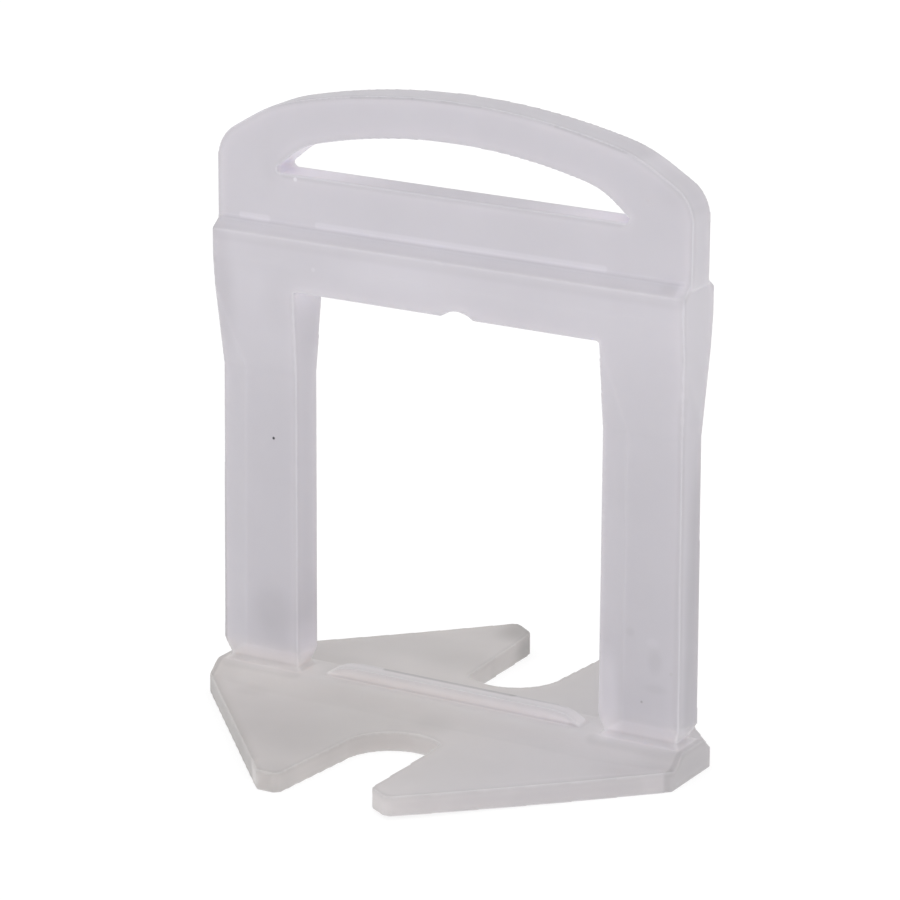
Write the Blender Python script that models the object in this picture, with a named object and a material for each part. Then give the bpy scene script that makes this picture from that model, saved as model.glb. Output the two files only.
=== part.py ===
"""Tile levelling clip: one injection moulded piece of natural polypropylene.

A thin base plate lies under the edges of four tiles. Two legs rise from it through the joint and carry
a crossbar, under which a wedge is driven, and a handle with a finger slot. The clip maps onto itself
by a half turn about its upright axis, because both halves of its mould are alike.

Metres, +Z up. X runs across the clip from leg to leg, Y through its thickness, with the front at -Y.
The origin is the middle of the base's underside.
"""

import math

import bmesh
import bpy
from mathutils import Matrix, Vector

# Base plate, seen from above. It has a long slanting hook and a foot at the front, with a rounded
# notch between them, and the same again at the back, turned by half a turn.
PLATE_THICKNESS = 0.0015
PLATE_LENGTH = 0.0388
PLATE_EDGE_RADIUS = 0.00012
END_FACE_TO_HOOK = 0.0031
END_FACE_TO_FOOT = 0.00265
HOOK_REACH = 0.0182
HOOK_TIP_OFFSET = 0.0050
HOOK_TIP_WIDTH = 0.00185
HOOK_TIP_SLANT = 0.0012
HOOK_ROOT_OVERLAP = 0.0013
HOOK_SIDE_DRAFT = 0.0003
FOOT_REACH = 0.01765
FOOT_TIP_OFFSET = 0.0041
FOOT_TIP_WIDTH = 0.00175
NOTCH_RADIUS = 0.00375
NOTCH_OFFSET = 0.0003
NOTCH_TO_AXIS = 0.00585
TIP_ROUNDING = 0.0005
CORNER_ROUNDING = 0.0004

# Ridge along the plate, a swell with a flat top, and the thin rib on it that keeps two tiles apart.
RIDGE_HEIGHT = 0.00092
RIDGE_TOP_WIDTH = 0.0028
RIDGE_FOOT_WIDTH = 0.0080
RIDGE_END_INSET = 0.0002
RIDGE_FOOT_SINK = 0.0001
RIB_HEIGHT = 0.00072
RIB_WIDTH = 0.0012
RIB_LENGTH = 0.0214
RIB_RUN_OUT = 0.0024
RIB_EDGE_RADIUS = 0.0002

# Legs. Each has one bevelled front edge and one bevelled back edge, and a neck where it snaps off.
FRAME_WIDTH = 0.0383
LEG_WIDTH = 0.00695
LEG_THICKNESS = 0.00276
LEG_STRAIGHT = 0.0227
BEVEL_WIDTH = 0.00227
BEVEL_DEPTH = 0.00065
SIDE_DRAFT = 0.00037
NECK_LIFT = 0.0003
NECK_RISE = 0.0012
NECK_SIDE_CUT = 0.0010
NECK_FACE_CUT = 0.00065

# Crossbar over the window that takes the wedge.
WINDOW_HEIGHT = 0.0293
WINDOW_WIDTH = 0.0251
BODY_THICKNESS = 0.00456
CROSSBAR_TAPER = 0.0020
CROSSBAR_FACE = 0.0018
LEDGE_HEIGHT = 0.00073
GATE_NOTCH_WIDTH = 0.0026
GATE_NOTCH_DEPTH = 0.0005
GATE_NOTCH_OFFSET = 0.0011

# Handle over the crossbar, with its finger slot.
HANDLE_THICKNESS = 0.0026
HANDLE_OVERHANG = 0.0001
HANDLE_EDGE_RADIUS = 0.00025
HANDLE_SILL = 0.00363
SHOULDER_HEIGHT = 0.0058
SHOULDER_RADIUS = 0.0030
HAUNCH_RADIUS = 0.0134
HAUNCH_RUN = 0.0065
HAUNCH_TANGENT = 0.00276
ARCH_RADIUS = 0.0548
ARCH_BAND = 0.00303
SLOT_LENGTH = 0.0285
SLOT_HEIGHT = 0.0040
SLOT_ARCH_RADIUS = 0.0431
SLOT_HAUNCH_RUN = 0.0038
SLOT_HAUNCH_TANGENT = 0.0018
SLOT_HAUNCH_RADIUS = 0.0030
SLOT_END_HEIGHT = 0.00073
SLOT_END_RADIUS = 0.0003

# Natural polypropylene as the photograph shows it: milky, pale grey, half matt.
PLASTIC_COLOUR = (0.61, 0.60, 0.61, 1.0)
PLASTIC_ROUGHNESS = 0.42

# How far one blank runs into the next where they are joined, and how finely arcs are drawn.
JOIN_DEPTH = 0.0004
FOOT_MARGIN = 0.0001
CUT_MARGIN = 0.0010
ARC_STEP = math.radians(9.0)
ARCH_SEGMENTS = 24
RIDGE_FLANK_SEGMENTS = 6
RIB_ARC_SEGMENTS = 6
NOTCH_FACETS = 72
EDGE_SEGMENTS = 2
SMOOTH_ANGLE = math.radians(30.0)
WELD_DISTANCE = 1e-7

PLATE_TOP = PLATE_THICKNESS
RIDGE_TOP = PLATE_TOP + RIDGE_HEIGHT
RIB_TOP = RIDGE_TOP + RIB_HEIGHT
NECK_Z = RIDGE_TOP + NECK_LIFT
LEG_FOOT_Z = NECK_Z + NECK_RISE
WINDOW_TOP = RIDGE_TOP + WINDOW_HEIGHT
TAPER_FOOT = RIDGE_TOP + LEG_STRAIGHT
SHOULDER_Z = WINDOW_TOP + CROSSBAR_TAPER
LEDGE_FOOT = SHOULDER_Z + CROSSBAR_FACE
LEDGE_TOP = LEDGE_FOOT + LEDGE_HEIGHT
SLOT_FLOOR = LEDGE_TOP + HANDLE_SILL
SLOT_CROWN = SLOT_FLOOR + SLOT_HEIGHT
CLIP_HEIGHT = SLOT_CROWN + ARCH_BAND
HALF_FRAME = FRAME_WIDTH / 2
HALF_PLATE = PLATE_LENGTH / 2


def clear_scene():
    """Removes what the file opened with."""
    for thing in list(bpy.data.objects):
        bpy.data.objects.remove(thing, do_unlink=True)


def make_collection(name):
    """Adds a collection to the scene."""
    collection = bpy.data.collections.new(name)
    bpy.context.scene.collection.children.link(collection)
    return collection


def make_material(name, colour, roughness):
    """Makes a plain plastic."""
    material = bpy.data.materials.new(name)
    material.use_nodes = True
    shader = material.node_tree.nodes["Principled BSDF"]
    shader.inputs["Base Color"].default_value = colour
    shader.inputs["Roughness"].default_value = roughness
    shader.inputs["Metallic"].default_value = 0.0
    return material


def rounded(corners):
    """Turns the (x, y, radius) corners of a closed outline into points, with arcs at the round ones."""
    points = []
    for index, (x, y, radius) in enumerate(corners):
        here = Vector((x, y))
        if radius <= 0.0:
            points.append(here)
            continue
        before = (Vector(corners[index - 1][:2]) - here).normalized()
        after = (Vector(corners[(index + 1) % len(corners)][:2]) - here).normalized()
        half_angle = before.angle(after) / 2
        reach = radius / math.tan(half_angle)
        centre = here + (before + after).normalized() * (radius / math.sin(half_angle))
        start = here + before * reach - centre
        turn = start.angle_signed(here + after * reach - centre)
        steps = max(2, math.ceil(abs(turn) / ARC_STEP))
        for step in range(steps + 1):
            spoke = start.copy()
            spoke.rotate(Matrix.Rotation(-turn * step / steps, 2))
            points.append(centre + spoke)
    return points


def arch(crown, radius, half_span, tangent, rounding):
    """Gives corners over an arch from +X to -X, each end run on along its tangent to a rounded corner."""
    lean = math.asin(half_span / radius)
    centre_z = crown - radius
    end_x = half_span + tangent * math.cos(lean)
    end_z = centre_z + radius * math.cos(lean) - tangent * math.sin(lean)
    corners = [(end_x, end_z, rounding)]
    for step in range(ARCH_SEGMENTS + 1):
        angle = lean - 2 * lean * step / ARCH_SEGMENTS
        corners.append((radius * math.sin(angle), centre_z + radius * math.cos(angle), 0.0))
    corners.append((-end_x, end_z, rounding))
    return corners


def flat_piece(name, outlines, thickness, matrix, edge_radius=0.0):
    """Makes a plate from closed outlines in its own XY plane, of which the inner ones are holes."""
    curve = bpy.data.curves.new(name, "CURVE")
    curve.dimensions = "2D"
    curve.fill_mode = "BOTH"
    curve.extrude = thickness / 2 - edge_radius
    curve.bevel_depth = edge_radius
    curve.bevel_resolution = EDGE_SEGMENTS
    curve.offset = -edge_radius
    for outline in outlines:
        spline = curve.splines.new("POLY")
        spline.points.add(len(outline) - 1)
        for point, place in zip(spline.points, outline):
            point.co = (place[0], place[1], 0.0, 1.0)
        spline.use_cyclic_u = True
    guide = bpy.data.objects.new(name + "_outline", curve)
    bpy.context.scene.collection.objects.link(guide)
    evaluated = guide.evaluated_get(bpy.context.evaluated_depsgraph_get())
    mesh = bpy.data.meshes.new_from_object(evaluated)
    mesh.name = name
    bpy.data.objects.remove(guide, do_unlink=True)
    form = bmesh.new()
    form.from_mesh(mesh)
    bmesh.ops.remove_doubles(form, verts=form.verts, dist=WELD_DISTANCE)
    bmesh.ops.recalc_face_normals(form, faces=form.faces)
    form.to_mesh(mesh)
    form.free()
    piece = bpy.data.objects.new(name, mesh)
    piece.matrix_world = matrix
    return piece


def facing_front():
    """Turns a flat piece upright, so that its own X and Y become X and Z."""
    return Matrix.Rotation(math.radians(90.0), 4, "X")


def along_x():
    """Turns a flat piece so that its own X and Y become Y and Z, and its thickness runs along X."""
    return Matrix(((0, 0, 1, 0), (1, 0, 0, 0), (0, 1, 0, 0), (0, 0, 0, 1)))


def loft(name, rings):
    """Makes a closed body through rings of (x, y, z) points, listed from the lowest ring to the highest."""
    form = bmesh.new()
    layers = [[form.verts.new(point) for point in ring] for ring in rings]
    count = len(layers[0])
    for lower, upper in zip(layers, layers[1:]):
        for index in range(count):
            following = (index + 1) % count
            form.faces.new((lower[index], lower[following], upper[index]))
            form.faces.new((lower[following], upper[following], upper[index]))
    form.faces.new(list(reversed(layers[0])))
    form.faces.new(layers[-1])
    bmesh.ops.recalc_face_normals(form, faces=form.faces)
    mesh = bpy.data.meshes.new(name)
    form.to_mesh(mesh)
    form.free()
    return bpy.data.objects.new(name, mesh)


def plate_outline():
    """Gives the base plate's outline: the front half, then the same corners turned by half a turn."""
    hook_side = NOTCH_OFFSET + NOTCH_RADIUS - HOOK_ROOT_OVERLAP
    notch_centre_y = -(NOTCH_TO_AXIS + NOTCH_RADIUS)
    root_angle = math.acos((NOTCH_RADIUS - HOOK_ROOT_OVERLAP) / NOTCH_RADIUS)
    corners = [
        (HALF_PLATE, -END_FACE_TO_HOOK, CORNER_ROUNDING),
        (HOOK_TIP_OFFSET, -HOOK_REACH, TIP_ROUNDING),
        (HOOK_TIP_OFFSET - HOOK_TIP_WIDTH, -HOOK_REACH + HOOK_TIP_SLANT, TIP_ROUNDING),
        (hook_side + HOOK_SIDE_DRAFT, -HOOK_REACH + 2 * HOOK_TIP_SLANT, 0.0),
    ]
    turn = math.pi - root_angle
    steps = math.ceil(turn / ARC_STEP)
    for step in range(steps + 1):
        angle = root_angle + turn * step / steps
        x = NOTCH_OFFSET + NOTCH_RADIUS * math.cos(angle)
        y = notch_centre_y + NOTCH_RADIUS * math.sin(angle)
        corners.append((x, y, 0.0))
    corners += [
        (-FOOT_TIP_OFFSET, -FOOT_REACH, TIP_ROUNDING),
        (-FOOT_TIP_OFFSET - FOOT_TIP_WIDTH, -FOOT_REACH, CORNER_ROUNDING),
        (-HALF_PLATE, -END_FACE_TO_FOOT, CORNER_ROUNDING),
    ]
    corners += [(-x, -y, radius) for x, y, radius in corners]
    return rounded(corners)


def make_plate():
    """Makes the base plate with softened edges, its underside at z = 0."""
    place = Matrix.Translation((0.0, 0.0, PLATE_THICKNESS / 2))
    return flat_piece("base_plate", [plate_outline()], PLATE_THICKNESS, place, PLATE_EDGE_RADIUS)


def make_ridge():
    """Makes the low ridge on which the legs and the rib stand, its flanks easing out into the plate."""
    top, foot = RIDGE_TOP_WIDTH / 2, RIDGE_FOOT_WIDTH / 2
    flank = [(foot, PLATE_TOP - JOIN_DEPTH)]
    for step in range(RIDGE_FLANK_SEGMENTS + 1):
        share = step / RIDGE_FLANK_SEGMENTS
        drop = (RIDGE_HEIGHT + RIDGE_FOOT_SINK) * (1 + math.cos(math.pi * share)) / 2
        flank.append((foot + (top - foot) * share, RIDGE_TOP - drop))
    mirrored = [(-y, z) for y, z in reversed(flank)]
    return flat_piece("ridge", [flank + mirrored], PLATE_LENGTH, along_x())


def make_ridge_bounds():
    """Makes the block that the ridge stays within, which follows the plate's outline a little inside it."""
    shrink = 1 - 2 * RIDGE_END_INSET / PLATE_LENGTH
    outline = [point * shrink for point in plate_outline()]
    place = Matrix.Translation((0.0, 0.0, PLATE_TOP))
    return flat_piece("ridge_bounds", [outline], 2 * (RIDGE_HEIGHT + CUT_MARGIN), place)


def make_rib():
    """Makes the rib between the legs, each end running out in an arc down to the ridge."""
    radius = (RIB_RUN_OUT ** 2 + RIB_HEIGHT ** 2) / (2 * RIB_HEIGHT)
    centre_x, centre_z = RIB_LENGTH / 2 - RIB_RUN_OUT, RIB_TOP - radius
    lean = math.acos(1 - (RIB_HEIGHT + JOIN_DEPTH) / radius)
    arc = []
    for step in range(RIB_ARC_SEGMENTS + 1):
        angle = lean * (1 - step / RIB_ARC_SEGMENTS)
        arc.append((centre_x + radius * math.sin(angle), centre_z + radius * math.cos(angle)))
    mirrored = [(-x, z) for x, z in reversed(arc)]
    return flat_piece("rib", [arc + mirrored], RIB_WIDTH, facing_front(), RIB_EDGE_RADIUS)


def body_half_thickness(z):
    """Gives half the frame's thickness at height z, where it widens from the legs to the crossbar."""
    slope = (BODY_THICKNESS - LEG_THICKNESS) / 2 / (SHOULDER_Z - TAPER_FOOT)
    return LEG_THICKNESS / 2 + slope * (z - TAPER_FOOT)


def leg_section(z, outer, inner, half_thickness, bevel_depth=0.0, draft=0.0):
    """Gives the left leg's six corners at height z, from its outer front corner on round its front."""
    return [
        (outer, -half_thickness + bevel_depth, z),
        (outer + BEVEL_WIDTH, -half_thickness, z),
        (inner - draft, -half_thickness, z),
        (inner, half_thickness - bevel_depth, z),
        (inner - BEVEL_WIDTH, half_thickness, z),
        (outer + draft, half_thickness, z),
    ]


def make_leg(name, turn):
    """Lofts a leg: flared foot, neck, bevelled shaft, and its widening into the crossbar."""
    shaft = LEG_THICKNESS / 2
    foot = RIDGE_TOP_WIDTH / 2 - FOOT_MARGIN
    outer = -HALF_FRAME
    inner = outer + LEG_WIDTH
    neck_outer = outer + NECK_SIDE_CUT
    neck_inner = inner - NECK_SIDE_CUT
    window_side = -WINDOW_WIDTH / 2
    rings = [
        leg_section(RIDGE_TOP - JOIN_DEPTH, outer, inner, foot),
        leg_section(RIDGE_TOP, outer, inner, foot),
        leg_section(NECK_Z, neck_outer, neck_inner, shaft - NECK_FACE_CUT),
        leg_section(LEG_FOOT_Z, outer, inner, shaft, BEVEL_DEPTH, SIDE_DRAFT),
        leg_section(TAPER_FOOT, outer, inner, shaft, BEVEL_DEPTH, SIDE_DRAFT),
        leg_section(WINDOW_TOP, outer, window_side, body_half_thickness(WINDOW_TOP)),
        leg_section(WINDOW_TOP + JOIN_DEPTH, outer + JOIN_DEPTH, window_side - JOIN_DEPTH, shaft),
    ]
    leg = loft(name, rings)
    leg.matrix_world = Matrix.Rotation(turn, 4, "Z")
    return leg


def make_crossbar():
    """Makes the crossbar from its side profile: tapering underside, upright face and sloping ledge."""
    body, handle = BODY_THICKNESS / 2, HANDLE_THICKNESS / 2
    underside = body_half_thickness(WINDOW_TOP)
    ledge_slope = LEDGE_HEIGHT / (body - handle)
    inside = (-handle + JOIN_DEPTH, LEDGE_TOP + JOIN_DEPTH * ledge_slope)
    front = [(-underside, WINDOW_TOP), (-body, SHOULDER_Z), (-body, LEDGE_FOOT), inside]
    back = [(-y, z) for y, z in reversed(front)]
    return flat_piece("crossbar", [front + back], FRAME_WIDTH, along_x())


def make_gate_notch():
    """Makes the cutter for the shallow round notch in the crossbar's underside."""
    half = GATE_NOTCH_WIDTH / 2
    radius = (half ** 2 + GATE_NOTCH_DEPTH ** 2) / (2 * GATE_NOTCH_DEPTH)
    length = BODY_THICKNESS + 2 * CUT_MARGIN
    bpy.ops.mesh.primitive_cylinder_add(vertices=NOTCH_FACETS, radius=radius, depth=length)
    cutter = bpy.context.object
    cutter.name = "gate_notch"
    centre = (GATE_NOTCH_OFFSET, 0.0, WINDOW_TOP + GATE_NOTCH_DEPTH - radius)
    cutter.matrix_world = Matrix.Translation(centre) @ facing_front()
    return cutter


def handle_outline():
    """Gives the handle's outer edge: upright sides, round shoulders and a flat arch."""
    half = HALF_FRAME + HANDLE_OVERHANG
    foot = (LEDGE_FOOT + LEDGE_TOP) / 2
    shoulder = LEDGE_TOP + SHOULDER_HEIGHT
    corners = [(-half, foot, 0.0), (half, foot, 0.0), (half, shoulder, SHOULDER_RADIUS)]
    corners += arch(CLIP_HEIGHT, ARCH_RADIUS, half - HAUNCH_RUN, HAUNCH_TANGENT, HAUNCH_RADIUS)
    corners.append((-half, shoulder, SHOULDER_RADIUS))
    return rounded(corners)


def slot_outline():
    """Gives the finger slot: a level floor under an arch, with narrow ends."""
    half = SLOT_LENGTH / 2
    side = SLOT_FLOOR + SLOT_END_HEIGHT
    span = half - SLOT_HAUNCH_RUN
    corners = [(x, z, SLOT_END_RADIUS) for x, z in ((-half, SLOT_FLOOR), (half, SLOT_FLOOR), (half, side))]
    corners += arch(SLOT_CROWN, SLOT_ARCH_RADIUS, span, SLOT_HAUNCH_TANGENT, SLOT_HAUNCH_RADIUS)
    corners.append((-half, side, SLOT_END_RADIUS))
    return rounded(corners)


def make_handle():
    """Makes the handle, a plate with rounded edges round its rim and its slot."""
    outlines = [handle_outline(), slot_outline()]
    return flat_piece("handle", outlines, HANDLE_THICKNESS, facing_front(), HANDLE_EDGE_RADIUS)


def combine(target, tool, operation):
    """Adds a Boolean modifier to the target."""
    modifier = target.modifiers.new(tool.name, "BOOLEAN")
    modifier.operation = operation
    modifier.solver = "EXACT"
    modifier.object = tool


def main():
    """Joins the blanks into the clip."""
    clear_scene()
    clip_collection = make_collection("tile_levelling_clip")
    tool_collection = make_collection("clip_tools")

    crossbar = make_crossbar()
    ridge = make_ridge()
    joined = [
        make_handle(),
        make_leg("left_leg", 0.0),
        make_leg("right_leg", math.pi),
        make_plate(),
        ridge,
        make_rib(),
    ]
    ridge_bounds = make_ridge_bounds()
    notch = make_gate_notch()
    for holder in list(notch.users_collection):
        holder.objects.unlink(notch)

    crossbar.name = "levelling_clip"
    crossbar.data.materials.append(make_material("natural_polypropylene", PLASTIC_COLOUR, PLASTIC_ROUGHNESS))
    clip_collection.objects.link(crossbar)
    for tool in joined + [ridge_bounds, notch]:
        tool_collection.objects.link(tool)
        tool.hide_render = True
        tool.display_type = "WIRE"
    combine(ridge, ridge_bounds, "INTERSECT")
    combine(crossbar, notch, "DIFFERENCE")
    for piece in joined:
        combine(crossbar, piece, "UNION")
    crossbar.data.shade_smooth()
    crossbar.data.set_sharp_from_angle(angle=SMOOTH_ANGLE)


main()
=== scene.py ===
"""Looks of a tile levelling clip: one milky moulding of natural polypropylene, on a pale studio floor.

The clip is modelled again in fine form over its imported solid. Each part of the moulding is a class that
builds a closed blank, the blanks are melted into one skin with soft moulded edges, and the skin gets its
finish. Metres, +Z up, X across the clip from leg to leg, the front at -Y.
"""

import logging
import math
from dataclasses import dataclass
from enum import Enum
from functools import reduce
from typing import ClassVar, Iterable, Sequence

import bmesh
import bpy
from mathutils import Matrix, Vector


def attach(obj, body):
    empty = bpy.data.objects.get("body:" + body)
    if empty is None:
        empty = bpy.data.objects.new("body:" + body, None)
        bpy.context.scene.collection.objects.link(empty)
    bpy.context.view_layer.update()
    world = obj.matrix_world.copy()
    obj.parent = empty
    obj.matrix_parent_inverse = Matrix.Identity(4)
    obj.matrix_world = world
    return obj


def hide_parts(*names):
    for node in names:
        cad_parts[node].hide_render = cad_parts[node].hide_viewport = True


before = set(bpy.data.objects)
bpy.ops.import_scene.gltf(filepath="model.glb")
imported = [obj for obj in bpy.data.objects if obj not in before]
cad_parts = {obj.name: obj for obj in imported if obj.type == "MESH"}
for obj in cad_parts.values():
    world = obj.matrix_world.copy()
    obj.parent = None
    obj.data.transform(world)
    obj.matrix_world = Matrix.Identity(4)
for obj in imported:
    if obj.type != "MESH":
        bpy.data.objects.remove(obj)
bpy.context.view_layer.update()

MM = 0.001
CAD_NODE = "levelling_clip"
FINISH_SLOT = "natural_polypropylene"
JOIN_DEPTH = 0.4 * MM
CUT_MARGIN = 1.0 * MM
WELD_DISTANCE = 0.001 * MM
ARC_STEP = math.radians(3.0)
NOISE_ROUGHNESS = 0.5
LIGHT_SAMPLES = 8

log = logging.getLogger("levelling_clip")

Point2 = tuple[float, float]
Corner = tuple[float, float, float]
Point3 = tuple[float, float, float]
Colour = tuple[float, float, float]


class Facing(Enum):
    """How a flat blank is turned once it has been drawn in its own XY plane."""

    LYING = "its outline lies level"
    FRONT = "its outline stands upright and faces the front"
    SIDE = "its outline stands upright and runs along X"

    def matrix(self) -> Matrix:
        """Gives the turn from the blank's own axes to the clip's."""
        if self is Facing.FRONT:
            return Matrix.Rotation(math.radians(90.0), 4, "X")
        if self is Facing.SIDE:
            return Matrix(((0, 0, 1, 0), (1, 0, 0, 0), (0, 1, 0, 0), (0, 0, 0, 1)))
        return Matrix.Identity(4)


def rounded(corners: Sequence[Corner]) -> list[Vector]:
    """Draws a closed outline with an arc at each corner that has a radius.

    Args:
        corners: x, y and radius of each corner, in order round the outline.

    Returns:
        The outline's points, with arcs of short steps.
    """
    points: list[Vector] = []
    for index, (x, y, radius) in enumerate(corners):
        here = Vector((x, y))
        if radius <= 0.0:
            points.append(here)
            continue
        before = (Vector(corners[index - 1][:2]) - here).normalized()
        after = (Vector(corners[(index + 1) % len(corners)][:2]) - here).normalized()
        half_angle = before.angle(after) / 2
        reach = radius / math.tan(half_angle)
        centre = here + (before + after).normalized() * (radius / math.sin(half_angle))
        start = here + before * reach - centre
        turn = start.angle_signed(here + after * reach - centre)
        steps = max(2, math.ceil(abs(turn) / ARC_STEP))
        for step in range(steps + 1):
            spoke = start.copy()
            spoke.rotate(Matrix.Rotation(-turn * step / steps, 2))
            points.append(centre + spoke)
    return points


def arch(crown: float, radius: float, half_span: float, tangent: float, rounding: float) -> list[Corner]:
    """Draws an arch from +X to -X, each end run on along its tangent to a rounded corner.

    Args:
        crown: Height of the arch's top.
        radius: Radius of the arch.
        half_span: How far the arc reaches to each side.
        tangent: Length of the straight run after each end of the arc.
        rounding: Radius of the corner at the end of that run.

    Returns:
        Corners of the arch, for use in a closed outline.
    """
    lean = math.asin(half_span / radius)
    end_x = half_span + tangent * math.cos(lean)
    end_z = crown - radius + radius * math.cos(lean) - tangent * math.sin(lean)
    segments = max(2, math.ceil(2 * lean / (ARC_STEP / 2)))
    corners: list[Corner] = [(end_x, end_z, rounding)]
    for step in range(segments + 1):
        angle = lean - 2 * lean * step / segments
        corners.append((radius * math.sin(angle), crown - radius + radius * math.cos(angle), 0.0))
    corners.append((-end_x, end_z, rounding))
    return corners


def half_turned(corners: Iterable[Corner]) -> list[Corner]:
    """Turns corners by half a turn about the clip's upright axis, keeping their radii."""
    return [(-x, -y, radius) for x, y, radius in corners]


def direction(azimuth: float, elevation: float) -> Vector:
    """Gives the unit vector towards a place round the clip, in degrees, the front at azimuth 0."""
    a, e = math.radians(azimuth), math.radians(elevation)
    return Vector((math.sin(a) * math.cos(e), -math.cos(a) * math.cos(e), math.sin(e)))


class NodeSheet:
    """A node tree that is filled in by short calls, for shaders and geometry alike."""

    def __init__(self, tree: bpy.types.NodeTree) -> None:
        """Starts on a node tree."""
        self.tree = tree

    def add(self, kind: str, inputs: dict | None = None, **settings: object) -> bpy.types.Node:
        """Adds a node.

        Args:
            kind: Blender's name of the node's type.
            inputs: Value or output socket for each input, by name or number.
            **settings: Properties of the node, set before its inputs.

        Returns:
            The new node.
        """
        node = self.tree.nodes.new(kind)
        for key, value in settings.items():
            setattr(node, key, value)
        for key, value in (inputs or {}).items():
            if isinstance(value, bpy.types.NodeSocket):
                self.tree.links.new(value, node.inputs[key])
            else:
                node.inputs[key].default_value = value
        return node

    def math(self, operation: str, *values: object, clamp: bool = False) -> bpy.types.NodeSocket:
        """Adds a Math node on numbers or sockets and gives its result, from 0 to 1 where it is clamped."""
        node = self.add("ShaderNodeMath", dict(enumerate(values)), operation=operation, use_clamp=clamp)
        return node.outputs[0]

    def ramp(
        self, value: object, low: float, high: float, start: float = 0.0, end: object = 1.0
    ) -> bpy.types.NodeSocket:
        """Maps a value smoothly, low and beyond to start, high and beyond to end."""
        inputs = {"Value": value, "From Min": low, "From Max": high, "To Min": start, "To Max": end}
        return self.add("ShaderNodeMapRange", inputs, interpolation_type="SMOOTHSTEP").outputs["Result"]

    def noise(self, place: object, scale: float, detail: float) -> bpy.types.NodeSocket:
        """Adds a noise pattern of so many waves for each metre, with finer layers on top."""
        inputs = {"Vector": place, "Scale": scale, "Detail": detail, "Roughness": NOISE_ROUGHNESS}
        return self.add("ShaderNodeTexNoise", inputs).outputs["Fac"]

    def vector(self, operation: str, *values: object) -> bpy.types.Node:
        """Adds a Vector Math node on vectors or sockets."""
        return self.add("ShaderNodeVectorMath", dict(enumerate(values)), operation=operation)

    def scaled(self, vector: object, scale: bpy.types.NodeSocket) -> bpy.types.NodeSocket:
        """Scales a vector or colour by a socket's value."""
        node = self.add("ShaderNodeVectorMath", {0: vector, "Scale": scale}, operation="SCALE")
        return node.outputs["Vector"]

    def product(self, *factors: bpy.types.NodeSocket) -> bpy.types.NodeSocket:
        """Multiplies sockets one after another."""
        return reduce(lambda first, second: self.math("MULTIPLY", first, second), factors)

    def mix(self, factor: object, first: object, second: object) -> bpy.types.NodeSocket:
        """Mixes two colours.

        Args:
            factor: Share of the second colour.
            first: Colour or socket at factor 0.
            second: Colour or socket at factor 1.

        Returns:
            The mixed colour's socket.
        """
        node = self.tree.nodes.new("ShaderNodeMix")
        node.data_type = "RGBA"
        sockets = [node.inputs[0], node.inputs[6], node.inputs[7]]
        for socket, value in zip(sockets, (factor, first, second)):
            if isinstance(value, bpy.types.NodeSocket):
                self.tree.links.new(value, socket)
            else:
                socket.default_value = (*value, 1.0) if isinstance(value, tuple) else value
        return node.outputs[2]


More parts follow.
